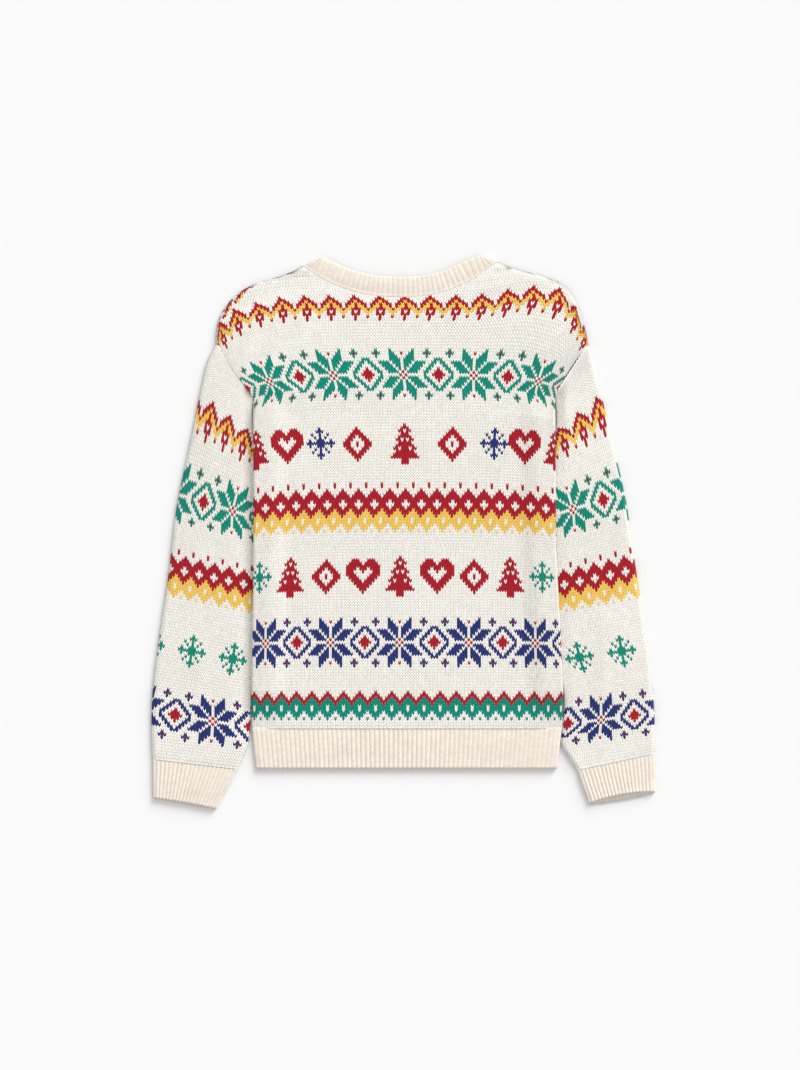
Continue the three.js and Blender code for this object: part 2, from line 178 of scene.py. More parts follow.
# Rows of each sleeve, up from the cuff, with the outer and inner ends
SLEEVE_ROWS = {
    "left": [
        (0, (-313.9, 13.1), (-207.1, 0.6)), (7, (-315.1, 41), (-196, 25)),
        (15, (-315, 72), (-192, 51.5)), (25, (-312.6, 109.5), (-190.8, 87)),
        (37, (-306.8, 154.5), (-181, 131)), (62, (-293.4, 247), (-172, 221)),
        (88, (-281, 342), (-172, 309.6)), (101, (-267, 407), (-178, 364)),
        (113, (-253.5, 474), (-187.9, 422)), (122, (-246, 507), (-188.9, 446)),
        (133, (-234.4, 531.3), (-188.1, 465)),
    ],
    "right": [
        (0, (314.3, 20.3), (216.9, -0.5)), (7, (314.4, 44), (197.8, 30)),
        (15, (313.6, 69.5), (199.5, 55)), (25, (311.3, 107), (199.9, 93)),
        (37, (306.2, 151.5), (184, 134)), (62, (291.4, 245), (175.5, 221)),
        (70, (287, 275.5), (175, 249)), (88, (276.5, 344), (174, 312.6)),
        (101, (262.3, 405), (182, 366)), (113, (247.5, 468), (190, 422)),
        (122, (238, 505), (190.5, 447)), (133, (231.4, 530.3), (189.4, 465)),
    ],
}
SLEEVE_TOP_ROW = 133
# First and last wale of each sleeve's upper layer; at both ends of the sleeve some are tucked away
SLEEVE_WALES = {"left": (-24, 16), "right": (-15, 23)}
TUCKED_WALES = {
    "row": [0, 15, 30, 88, 101, 113, 122, 133],
    "left": [3, 2.5, 0, 0, 6.5, 15, 18.5, 22],
    "right": [1, 0.5, 0, 2, 10, 18, 21, 22.5],
    "outer_left": [4, 3.2, 0, 0, 0, 0, 0, 0],
    "outer_right": [2, 1.5, 0, 0, 0, 0, 0, 0],
}

# Cuffs and hem: top and foot from left to right, and how far the upper mouth is set back and stands open
CUFFS = {
    "left": {
        "top": ((-313.9, 12.8), (-207.1, 0.3)),
        "foot": ((-313.3, -37), (-234, -51)),
        "setback": 1.2,
        "gape": 0.4,
    },
    "right": {
        "top": ((216.9, -0.8), (314.3, 20)),
        "foot": ((231.9, -44.3), (314.8, -30)),
        "setback": 5.5,
        "gape": 1.6,
    },
}
HEM = {"top": ((-190.1, 51.3), (198.8, 51.3)), "foot": ((-185, 0), (192.5, 0)), "setback": 0, "gape": 0}
HEM_RIBS = 66
CUFF_RIBS = 20
NECK_RIBS = 37
RIB_HEIGHT = 0.8
NECK_RIB_HEIGHT = 0.32
PER_RIB = 8
RIB_ROWS = 15
# How far a rib's first ring goes on under the knit
RIB_LAP = 1.6
# How far a cuff or the hem bulges, and how its mouth is turned in
RIB_SWELL = 0.5
RIB_CLEARANCE = 0.35
LIP_HEIGHT_SHARE = 0.62
MOUTH_GAP = 0.2
TURN_IN = 12
# Share of the neckband's width that its flat linking row takes up, and the linking row's own roll
LINKING = 0.13
LINKING_FADE = 0.06
LINKING_ROLL = 0.3
BAND_CROWN = 0.9
# Power that makes a rib's ridge broad and its groove narrow
RIDGE_POWER = 0.6
# The sleeve's last row goes on under the body's edge
SLEEVE_LAP = {"left": (2.1, 1.5, 0), "right": (-2.1, 1.5, 0)}
LAP_DROP = 0.9
# The left sleeve's inner edge sinks beside the body, up to the underarm
SLEEVE_DIP = 5.0
SLEEVE_DIP_REACH = 14.0
SLEEVE_SWELL_REACH = 16.0
UNDERARM_Y = 490

# Where the front's zigzag shows over the left shoulder, beyond the back's: middle wale, row, stitches
FRONT_FRAGMENTS = [
    (-50, 152, "R"), (-51, 151, "RRR"), (-52, 150, "RRY"), (-53, 149, "RY."),
    (-57, 150, "R"), (-57, 149, "RRR"), (-58, 148, "RRY"), (-60, 147, "RRY"),
]

# Soft folds in the upper layer: start, end, width and height
FOLDS = [
    ((203, 500), (200, 425), 9, 2.2), ((252, 205), (247, 80), 10, 1.6),
    ((276, 330), (262, 110), 12, 1.2), ((-222, 500), (-262, 250), 14, 1.3),
    ((-250, 150), (-262, 60), 12, 1.2), ((-160, 470), (-120, 300), 16, 1),
    ((150, 455), (95, 300), 18, 1), ((-60, 120), (90, 135), 18, 0.8),
]
FOLD_OVERRUN = 0.1
FOLD_FADE = 0.35

# Yarns, as linear colours
YARNS = {
    ".": (0.985, 0.95, 0.875),
    "R": (0.44, 0.007, 0.02),
    "G": (0.0, 0.28, 0.20),
    "N": (0.018, 0.034, 0.18),
    "Y": (0.98, 0.62, 0.12),
    "P": (0.93, 0.70, 0.36),
    "W": (0.22, 0.02, 0.03),
}
YARN_LETTERS = list(YARNS)

# Charts, top row first, drawn as the knitting is seen
STAR_TOP = [
    "....M.......M....",
    "....MM..R..MM....",
    "....MMM...MMM....",
    "....MMMM.MMMM....",
    "MMMM.MMM.MMM.MMMM",
    ".MMMM.MM.MM.MMMM.",
    "..MMMM.M.M.MMMM..",
    "...MMMM.R.MMMM...",
    ".......R.R.......",
]
LOZENGE_TOP = [
    "....MMM....",
    "...MM.MM...",
    "..MM...MM..",
    ".MM..R..MM.",
    "MM..RRR..MM",
    "M..RRRRR..M",
]
SNOWFLAKE_TOP = [
    ".....M.....",
    "....MMM....",
    "..M..M..M..",
    "...M.M.M...",
    ".M..MMM..M.",
    "MMMMMMMMMMM",
]
PLUS = [".M.", "MWM", ".M."]
ZIGZAG = [
    "...R....",
    "..RRR...",
    ".RRYRR..",
    "RRYRYRR.",
    "RYYRYYR.",
    "YYRRRYYR",
    "Y.R.R.YY",
    "..RRR..Y",
    "...R...R",
    "...R....",
]
TOOTHED = [
    ".....R", ".....R", "..R...", ".RRR..", "RRRRR.", "RRRRRR", "RR.RRR", "R...RR", "RR.RRR",
    "RRRRRY", "YRRRYY", "YYRYYY", "YYYYY.", "YYYYY.", "YY.YYY", "Y...YY", "..P..Y",
]
SCALLOP = [
    "..R...", ".RRR..", "RRGRR.", "RGGGRR", "GGGGGR", "GG.GGG", "GG.GGG", "GGGGG.", ".GGG..", "..G..G",
]
# Where the patterns lie, in rows from the hem or the cuff: the top row of a band and its phase on wale 0,
# and the middle rows of the stars and snowflakes
BODY_BANDS = {"scallop": (12, 5), "toothed": (83, 2), "zigzag": (147, 3)}
BODY_STARS = {"N": 29, "G": 120}
BODY_SNOWFLAKES = [(-55, 52, "G"), (55, 52, "G"), (-32, 97, "N"), (34, 97, "N")]
SLEEVE_TOOTHED = (70, 2)
SLEEVE_ZIGZAG = {"left": (112, 5), "right": (113, 7)}
SLEEVE_STARS = {"N": 15, "G": 88}
SLEEVE_SNOWFLAKE_ROW = 37
SLEEVE_SNOWFLAKE_MIDDLE = {"left": -11, "right": -4}
SLEEVE_SNOWFLAKE_STEP = 16
# Wales from star to star, and where the small crosses lie after each star
STAR_STEP = 26
CROSS_WALES = (9, 17)
CROSS_ROWS = (-7, 7)
# The generic design in place of the words: row, then the wale of each motif
LOWER_MOTIF_ROW = 52
LOWER_MOTIF_WALES = (-42, -28, -14, 0, 14, 28, 42)
UPPER_MOTIF_ROW = 97
UPPER_MOTIF_WALES = (-58, -45, -18, 0, 18, 46, 59)
FIR = [
    "......R......",
    ".....RRR.....",
    "....RR.RR....",
    ".....RRR.....",
    "....RRRRR....",
    "...RR.R.RR...",
    "....RRRRR....",
    "...RRRRRRR...",
    "..RR.RRR.RR..",
    "...RRRRRRR...",
    "..RRRRRRRRR..",
    ".RRRRRRRRRRR.",
    ".....RRR.....",
    ".....RRR.....",
]
HEART = [
    "..RRR...RRR..",
    ".RRRRR.RRRRR.",
    "RRRRRRRRRRRRR",
    "RRRR.RRR.RRRR",
    "RRR...R...RRR",
    "RRRR.....RRRR",
    ".RRRR...RRRR.",
    "..RRRR.RRRR..",
    "...RRRRRRR...",
    "....RRRRR....",
    ".....RRR.....",
    "......R......",
]
DIAMOND = [
    ".....R.....",
    "....RRR....",
    "...RRRRR...",
    "..RRR.RRR..",
    ".RRR...RRR.",
    "RRR..R..RRR",
    "RRR..R..RRR",
    ".RRR...RRR.",
    "..RRR.RRR..",
    "...RRRRR...",
    "....RRR....",
    ".....R.....",
]


def smooth(t):
    t = np.clip(t, 0, 1)
    return t * t * (3 - 2 * t)


def look_up(table, key, at, column):
    return np.interp(at, table[key], table[column])


def catmull(points, count):
    """A smooth curve through points, as count evenly spaced places."""
    points = np.asarray(points, float)
    ends = np.vstack([2 * points[0] - points[1], points, 2 * points[-1] - points[-2]])
    t = np.linspace(0, 1, 13)[:-1, None]
    spans = []
    for a, b, c, d in zip(ends, ends[1:], ends[2:], ends[3:]):
        square = (2 * a - 5 * b + 4 * c - d) * t**2
        cube = (3 * b - a - 3 * c + d) * t**3
        spans.append(0.5 * (2 * b + (c - a) * t + square + cube))
    dense = np.vstack([*spans, points[-1:]])
    return along(dense, np.linspace(0, 1, count))


def lengths(line):
    steps = np.hypot(*np.diff(line[:, :2], axis=0).T)
    return np.concatenate([[0], np.cumsum(steps)])


def along(line, shares):
    """Places at shares of a polyline's length."""
    run = lengths(line)
    at = np.asarray(shares) * run[-1]
    return np.stack([np.interp(at, run, line[:, k]) for k in range(line.shape[1])], -1)


def arc(a, b, bow, t):
    """A chord from a to b bowed to its left by a parabola."""
    a, b = np.asarray(a, float), np.asarray(b, float)
    chord = b - a
    side = 4 * bow * t * (1 - t) / np.hypot(*chord)
    across = np.array([-chord[1], chord[0]])
    return a + chord * np.asarray(t)[..., None] + across * np.asarray(side)[..., None]


def distance_to(points, line):
    """Distance from each plan point to a polyline."""
    flat = points[..., :2].reshape(-1, 2)
    best = np.full(len(flat), 1e9)
    for a, b in zip(line[:-1], line[1:]):
        chord = b - a
        t = np.clip(((flat - a) @ chord) / max(chord @ chord, 1e-9), 0, 1)
        best = np.minimum(best, np.hypot(*(flat - a - t[:, None] * chord).T))
    return best.reshape(points.shape[:-1])


def neckline(t, neck_y):
    left, right = SHOULDERS["left"][-1], SHOULDERS["right"][-1]
    t = np.asarray(t, float)
    dip = 1 - np.abs(2 * t - 1) ** NECK_ROUND
    base = left[1] + (right[1] - left[1]) * t
    return np.stack([left[0] + (right[0] - left[0]) * t, base + (neck_y - base) * dip], -1)


EDGE_LINES = {}
for side in ("left", "right"):
    heights = np.linspace(HEM_TOP, UNDERARM_FOOT, 40)
    flank = np.stack([look_up(BODY_SIDES, "y", heights, side), heights], -1)
    EDGE_LINES[side] = {"flank": flank, "shoulder": catmull(SHOULDERS[side], 60)}
    hole = ARMHOLES[side]
    EDGE_LINES[side]["armhole"] = arc(hole["tip"], hole["foot"], hole["bow"], np.linspace(0, 1, 30))


def nearest_edge(points, name):
    """Distance from each plan point to an edge of the given name, on the nearer side."""
    return np.min([distance_to(points, EDGE_LINES[side][name]) for side in ("left", "right")], 0)


def fold_height(points):
    total = np.zeros(points.shape[:-1])
    for start, end, width, height in FOLDS:
        start, chord = np.array(start, float), np.subtract(end, start).astype(float)
        share = ((points[..., :2] - start) @ chord) / (chord @ chord)
        away = np.hypot(*np.moveaxis(points[..., :2] - start - share[..., None] * chord, -1, 0))
        ends = smooth((share + FOLD_OVERRUN) / FOLD_FADE) * smooth((1 + FOLD_OVERRUN - share) / FOLD_FADE)
        total += height * ends * np.exp(-((away / width) ** 2))
    return total


def round_share(distance, reach):
    inwards = np.clip(distance / reach, 0, 1)
    return np.sqrt(1 - (1 - inwards) ** 2)


def body_lift(points):
    distance = np.minimum(
        distance_to(points, EDGE_LINES["left"]["flank"]), distance_to(points, EDGE_LINES["right"]["flank"])
    )
    fade = 1 - smooth((distance - LIFT_FLAT) / (LIFT_END - LIFT_FLAT))
    return LIFT * fade * look_up(SIDE_LIFT, "y", points[..., 1], "share")


# Rows of the body


def row_end(side, row):
    """Where a row ends in plan, and at which wale."""
    lines = EDGE_LINES[side]
    if row <= UNDERARM_ROW:
        y = look_up(LEVELS, "row", row, "y") - look_up(ROW_SHAPE, "row", row, "drop")
        return np.array([look_up(BODY_SIDES, "y", y, side), y]), look_up(ROW_COLUMNS, "row", row, side)
    if row <= TIP_ROW:
        up = (row - UNDERARM_ROW) / (TIP_ROW - UNDERARM_ROW)
        return along(lines["armhole"], [1 - up])[0], look_up(ROW_COLUMNS, "row", row, side)
    up = look_up(SHOULDER_ROWS, "row", row, "share")
    return along(lines["shoulder"], [up])[0], look_up(SHOULDER_ROWS, "row", row, side)


def rise(x, row):
    total = 0.0
    for bump in RISES:
        share = smooth((row - bump["first_row"]) / (bump["last_row"] - bump["first_row"]))
        share = share * (1 - smooth((row - bump["fades"]) / RISE_FADE_ROWS))
        total = total + bump["height"] * share * np.exp(-(((x - bump["x"]) / bump["width"]) ** 2))
    return total


def body_row(row, columns):
    """Plan places of the wales along one row of the body."""
    (left, first), (right, last) = row_end("left", row), row_end("right", row)
    level = look_up(LEVELS, "row", row, "y")
    reach = look_up(ROW_SHAPE, "row", row, "reach")
    spread = (1 - np.cos(np.linspace(0, np.pi, 160))) / 2
    x = left[0] + (right[0] - left[0]) * spread
    fall_left = (level + rise(left[0], row) - left[1]) * np.exp(-(x - left[0]) / reach)
    fall_right = (level + rise(right[0], row) - right[1]) * np.exp(-(right[0] - x) / reach)
    line = np.stack([x, level + rise(x, row) - fall_left - fall_right], -1)
    inside = np.clip(columns, first, last)
    wales = look_up(ROW_SHAPE, "row", row, "crowd_wales")
    crowd = look_up(ROW_SHAPE, "row", row, "crowd") * wales

    def run(c):
        return c + crowd * np.exp(-(c - first) / wales) - crowd * np.exp(-(last - c) / wales)

    share = (run(inside) - run(first)) / (run(last) - run(first))
    share = share + look_up(ROW_SHAPE, "row", row, "sway") * 4 * share * (1 - share)
    return along(line, share)


def body_lattice(neck_y):
    """Stitch corners of a body panel: half wales across, rows up, each wale's middle lower by the chevron."""
    columns = np.arange(-BODY_WALES, BODY_WALES + 0.5, 0.5)
    rows = np.append(np.arange(0, LAST_ROW - 1), SHOULDER_ROWS["row"][-1])
    lowered = np.append(np.maximum(rows[:-1] - CHEVRON, 0), rows[-1])
    whole = np.stack([body_row(row, columns) for row in rows], 1)
    half = np.stack([body_row(row, columns) for row in lowered], 1)
    plan = whole.copy()
    plan[1::2] = half[1::2]
    neck = neckline(np.linspace(0, 1, 120), neck_y)
    limit = np.interp(plan[..., 0], neck[:, 0], neck[:, 1], left=1e9, right=1e9)
    plan[..., 1] = np.minimum(plan[..., 1], limit)
    return columns, plan


# Patterns


def mirrored(top):
    return top + top[-2::-1]


def recoloured(chart, main):
    return [line.replace("M", main) for line in chart]


class Pattern:
    """A grid of yarns, addressed by wale and row."""

    def __init__(self, first, last, rows):
        self.first = first
        self.grid = np.zeros((last - first + 1, rows), int)

    def stamp(self, chart, column, row):
        """Draws a chart with its middle on a wale and a row."""
        width, height = len(chart[0]), len(chart)
        for down, line in enumerate(chart):
            at_row = row + (height - 1) // 2 - down
            for across, letter in enumerate(line):
                at = column + across - (width - 1) // 2 - self.first
                if letter != "." and 0 <= at < len(self.grid) and 0 <= at_row < self.grid.shape[1]:
                    self.grid[at, at_row] = YARN_LETTERS.index(letter)

    def band(self, chart, top_row, phase):
        """Repeats a chart along whole rows, with its column phase on wale 0."""
        for down, line in enumerate(chart):
            for at in range(len(self.grid)):
                letter = line[(at + self.first + phase) % len(line)]
                self.grid[at, top_row - down] = YARN_LETTERS.index(letter)

    def stars(self, main, row, middle):
        """Stars and lozenges by turns, with small crosses between them."""
        star, lozenge = recoloured(mirrored(STAR_TOP), main), recoloured(mirrored(LOZENGE_TOP), main)
        for turn in range(-4, 5):
            at = middle + STAR_STEP * turn
            self.stamp(star, at, row)
            self.stamp(lozenge, at + STAR_STEP // 2, row)
            for across in CROSS_WALES:
                for up in CROSS_ROWS:
                    self.stamp(recoloured(PLUS, main), at + across, row + up)


def body_pattern():
    pattern = Pattern(-BODY_WALES, BODY_WALES, LAST_ROW)
    pattern.band(SCALLOP, *BODY_BANDS["scallop"])
    pattern.band(TOOTHED, *BODY_BANDS["toothed"])
    for main, row in BODY_STARS.items():
        pattern.stars(main, row, 0)
    for column, row, main in BODY_SNOWFLAKES:
        pattern.stamp(recoloured(mirrored(SNOWFLAKE_TOP), main), column, row)
    pattern.band(ZIGZAG, *BODY_BANDS["zigzag"])
    for column, row, letters in FRONT_FRAGMENTS:
        pattern.stamp([letters], column, row)
    lower_motifs = (FIR, DIAMOND, HEART, FIR, HEART, DIAMOND, FIR)
    for column, motif in zip(LOWER_MOTIF_WALES, lower_motifs):
        pattern.stamp(motif, column, LOWER_MOTIF_ROW)
    upper_motifs = (FIR, HEART, DIAMOND, FIR, DIAMOND, HEART, FIR)
    for column, motif in zip(UPPER_MOTIF_WALES, upper_motifs):
        pattern.stamp(motif, column, UPPER_MOTIF_ROW)
    return pattern


def sleeve_pattern(side):
    pattern = Pattern(-SLEEVE_CHART_WALES, SLEEVE_CHART_WALES, SLEEVE_TOP_ROW + 1)
    for main, row in SLEEVE_STARS.items():
        pattern.stars(main, row, 0)
    snowflake = recoloured(mirrored(SNOWFLAKE_TOP), "G")
    for turn in range(-3, 4):
        column = SLEEVE_SNOWFLAKE_MIDDLE[side] + SLEEVE_SNOWFLAKE_STEP * turn
        pattern.stamp(snowflake, column, SLEEVE_SNOWFLAKE_ROW)
    pattern.band(TOOTHED, *SLEEVE_TOOTHED)
    pattern.band(ZIGZAG, *SLEEVE_ZIGZAG[side])
    return pattern


# Meshes


def link(name, vertices, faces, material, corners=None):
    mesh = bpy.data.meshes.new(name)
    vertices = (np.asarray(vertices, float).reshape(-1, 3) + ORIGIN) / 1000
    mesh.vertices.add(len(vertices))
    mesh.vertices.foreach_set("co", vertices.ravel())
    faces = np.asarray(faces, int)
    mesh.loops.add(faces.size)
    mesh.loops.foreach_set("vertex_index", faces.ravel())
    mesh.polygons.add(len(faces))
    mesh.polygons.foreach_set("loop_start", np.arange(0, faces.size, 4))
    mesh.polygons.foreach_set("loop_total", np.full(len(faces), 4))
    mesh.polygons.foreach_set("use_smooth", np.ones(len(faces), bool))
    mesh.update(calc_edges=True)
    for key, values in (corners or {}).items():
        if key == "yarn":
            layer = mesh.color_attributes.new(key, "FLOAT_COLOR", "CORNER")
            rgba = np.concatenate([values, np.ones((len(values), 1))], 1)
            layer.data.foreach_set("color", np.repeat(rgba, 4, 0).ravel())
        else:
            layer = mesh.uv_layers.new(name=key)
            layer.data.foreach_set("uv", np.asarray(values)[faces.ravel()].ravel())
    mesh.validate()
    piece = bpy.data.objects.new(name, mesh)
    bpy.context.scene.collection.objects.link(piece)
    mesh.materials.append(material)
    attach(piece, "root")
    return piece


def grid_faces(across, up, closed):
    """Quads of a grid of points numbered across * up, the first index across."""
    first = np.arange(across if closed else across - 1)
    second = (first + 1) % across
    rows = np.arange(up - 1)
    a = first[:, None] * up + rows
    b = second[:, None] * up + rows
    return np.stack([a, b, b + 1, a + 1], -1).reshape(-1, 4)


def bake_layout(points):
    """A flat layout of the plan for the bake, inside the unit square."""
    low, high = points[..., :2].reshape(-1, 2).min(0), points[..., :2].reshape(-1, 2).max(0)
    return ((points[..., :2] - low) / (high - low).max() * 0.98 + 0.01).reshape(-1, 2)


def plan_area(corners):
    """Area of each four-sided face seen from above; one that faces down counts as less than nothing."""
    x, y = corners[..., 0], corners[..., 1]
    return (x * np.roll(y, -1, 1) - np.roll(x, -1, 1) * y).sum(1) / 2


def knitted_panel(name, neck_y, layer, material):
    """A body panel: layer +1 is the upper one and -1 the lower one."""
    columns, plan = body_lattice(neck_y)
    folded = []
    for side in ("left", "right"):
        folded.append(EDGE_LINES[side]["shoulder"])
        folded.append(EDGE_LINES[side]["flank"][::-1])
    near = np.min([distance_to(plan, line) for line in folded], 0)
    beside_sleeve = (layer > 0) & (plan[..., 1] < UNDERARM_Y)
    rounded = round_share(near, np.where(beside_sleeve, FLANK_SOFT, EDGE_SOFT))
    level = -EDGE_TUCK + (MIDDLE + EDGE_TUCK * layer) * rounded * layer
    height = MIDDLE + level + body_lift(plan)
    if layer > 0:
        seam = nearest_edge(plan, "armhole")
        height += (fold_height(plan) + PUFF) * smooth(near / PUFF_REACH) + BACK_CLEARANCE
        height -= SEAM_DIP * np.exp(-((seam / SEAM_REACH) ** 2))
        from_neck = distance_to(plan, neckline(np.linspace(0, 1, 60), neck_y))
        beside = np.exp(-((from_neck / NECK_BLEND) ** 2))
        height = height * (1 - beside) + (2 * MIDDLE + BAND_START) * beside
    plan[:, 0, 1] -= HEM_LAP
    height[:, 0] -= HEM_LAP * layer / 2
    if layer < 0:
        inset = FRONT_INSET * np.exp(-near / FRONT_INSET_REACH)[..., None]
        plan = plan - inset * np.stack([np.sign(plan[..., 0]), smooth((plan[..., 1] - 480) / 60)], -1)
    points = np.concatenate([plan, height[..., None]], -1)
    faces = grid_faces(len(columns), points.shape[1], False)
    pattern = body_pattern()
    wale = np.repeat(np.floor(columns[:-1]).astype(int), points.shape[1] - 1)
    row = np.tile(np.arange(points.shape[1] - 1), len(columns) - 1)
    yarn = pattern.grid[np.clip(wale - pattern.first, 0, len(pattern.grid) - 1), row]
    flat = points.reshape(-1, 3)
    keep = plan_area(flat[faces]) > SLIVER
    uv = np.stack(np.broadcast_arrays(columns[:, None], lattice_rows(len(columns), points.shape[1])), -1)
    faces = faces if layer > 0 else faces[:, ::-1]
    colours = np.array([YARNS[letter] for letter in YARN_LETTERS])[yarn]
    corners = {"OFBake": bake_layout(points), "stitch": uv.reshape(-1, 2), "yarn": colours[keep]}
    return link(name, points, faces[keep], material, corners)


def lattice_rows(across, up):
    rows = np.tile(np.arange(up, dtype=float), (across, 1))
    rows[1::2] -= CHEVRON
    return rows


def ring(start, end, shares, swell):
    """A flattened tube's section: shares run from the left edge over the top and back below."""
    start, end = np.asarray(start, float), np.asarray(end, float)
    width = np.hypot(*(end - start))
    soft = min(EDGE_SOFT, width / 4)
    turn = np.linspace(0, np.pi / 2, 9)
    rim = np.stack([soft * (1 - np.cos(turn)), MIDDLE * np.sin(turn)], -1)
    top = np.vstack([rim, (np.array([width, 0]) + rim * [-1, 1])[::-1]])
    path = np.vstack([top, (top * [1, -1])[::-1][1:-1], top[:1]])
    place = along(path, shares)
    plan = start + (end - start) * (place[:, :1] / width)
    inside = np.clip(np.minimum(place[:, 0], width - place[:, 0]) / soft, 0, 1)
    up = MIDDLE + place[:, 1]
    upper = place[:, 1] > 0
    up = up + np.where(upper, np.maximum(swell(plan) * inside, MIDDLE + LAYER_GAP - up), 0)
    return np.concatenate([plan, up[:, None]], 1)


def sleeve_ends(side, wanted):
    """Outer and inner ends of the wanted rows."""
    table = SLEEVE_ROWS[side]
    numbers = [row for row, _, _ in table]
    return [catmull_table(numbers, np.array([entry[k] for entry in table], float), wanted) for k in (1, 2)]


def catmull_table(keys, values, wanted):
    """Smooth values between a table's rows, with a slope at each row from its neighbours."""
    keys = np.asarray(keys, float)
    slopes = np.gradient(values, keys, axis=0)
    span = np.clip(np.searchsorted(keys, wanted, side="right") - 1, 0, len(keys) - 2)
    step = (keys[span + 1] - keys[span])[:, None]
    t = ((wanted - keys[span]) / step[:, 0])[:, None]
    a, b = values[span], values[span + 1]
    ma, mb = slopes[span] * step, slopes[span + 1] * step
    return a + (3 * (b - a) - 2 * ma - mb) * t**2 + (2 * (a - b) + ma + mb) * t**3 + ma * t


def sleeve_swell(plan):
    seam = nearest_edge(plan, "armhole")
    near = nearest_edge(plan, "flank")
    outside = plan[:, 0] < look_up(BODY_SIDES, "y", plan[:, 1], "left")
    outside |= plan[:, 0] > look_up(BODY_SIDES, "y", plan[:, 1], "right")
    outside |= plan[:, 1] > UNDERARM_FOOT
    free = np.where(outside, smooth(near / SLEEVE_SWELL_REACH), 0)
    below = plan[:, 1] < UNDERARM_Y
    dip = SLEEVE_DIP * np.exp(-((near / SLEEVE_DIP_REACH) ** 2)) * outside * (plan[:, 0] < 0) * below
    sunk = SLEEVE_SEAM_DIP * np.exp(-((seam / SEAM_REACH) ** 2)) * outside
    return (fold_height(plan) + PUFF) * free - dip - sunk


def sleeve_shares(side, row, columns, wales):
    """Where a ring's wales lie round the tube, with the tucked ones gathered at the inner edge."""
    inner = look_up(TUCKED_WALES, "row", row, side)
    outer = look_up(TUCKED_WALES, "row", row, "outer_" + side)
    first, last = (outer, wales - inner) if side == "left" else (inner, wales - outer)
    over = np.minimum(columns, 2 * wales - columns)
    place = (np.clip(over, first, last) - first) / (last - first) / 2
    return np.where(columns <= wales, place, 1 - place)


def knitted_sleeve(name, side, material):
    first, last = SLEEVE_WALES[side]
    wales = last - first
    columns = np.arange(0, 2 * wales, 0.5)

    def rings(rows):
        outer, inner = sleeve_ends(side, rows)
        starts, ends = (outer, inner) if side == "left" else (inner, outer)
        made = []
        for row, a, b in zip(rows, starts, ends):
            made.append(ring(a, b, sleeve_shares(side, row, columns, wales), sleeve_swell))
        return np.stack(made, 1)

    rows = np.arange(0, SLEEVE_TOP_ROW + 1.0)
    points = rings(rows)
    points[1::2] = rings(np.maximum(rows - CHEVRON, 0))[1::2]
    points[:, 0, 1] -= HEM_LAP
    points[:, 0, 2] -= HEM_LAP / 2 * np.sign(points[:, 0, 2] - MIDDLE)
    lap = points[:, -1:] + SLEEVE_LAP[side]
    lap[..., 2] = np.where(lap[..., 2] > MIDDLE, lap[..., 2] - LAP_DROP, lap[..., 2])
    points = np.concatenate([points, lap], 1)
    count = points.shape[1]
    faces = grid_faces(len(columns), count, True)
    over = np.where(columns < wales, np.floor(first + columns), np.ceil(first + 2 * wales - columns) - 1)
    pattern = sleeve_pattern(side)
    wale = np.repeat(over.astype(int), count - 1)
    row = np.tile(np.minimum(np.arange(count - 1), SLEEVE_TOP_ROW), len(columns))
    yarn = pattern.grid[np.clip(wale - pattern.first, 0, len(pattern.grid) - 1), row]
    colours = np.array([YARNS[letter] for letter in YARN_LETTERS])[yarn]
    flat = points.reshape(-1, 3)
    low_width = np.linalg.norm(flat[faces[:, 1]] - flat[faces[:, 0]], axis=1)
    high_width = np.linalg.norm(flat[faces[:, 2]] - flat[faces[:, 3]], axis=1)
    keep = low_width + high_width > NARROW
    lattice = lattice_rows(len(columns), count)
    uv = np.stack(np.broadcast_arrays(columns[:, None], lattice), -1).reshape(-1, 2)
    spread = np.stack([columns[:, None] * WALE * np.ones(count), lattice * ROW], -1)
    corners = {"OFBake": bake_layout(spread), "stitch": uv, "yarn": colours[keep]}
    return link(name, points, faces[keep], material, corners)


def rib_profile(phase):
    """Share of the rib's height: a broad ridge and a narrow groove at each whole phase."""
    return np.abs(np.sin(np.pi * phase)) ** RIDGE_POWER


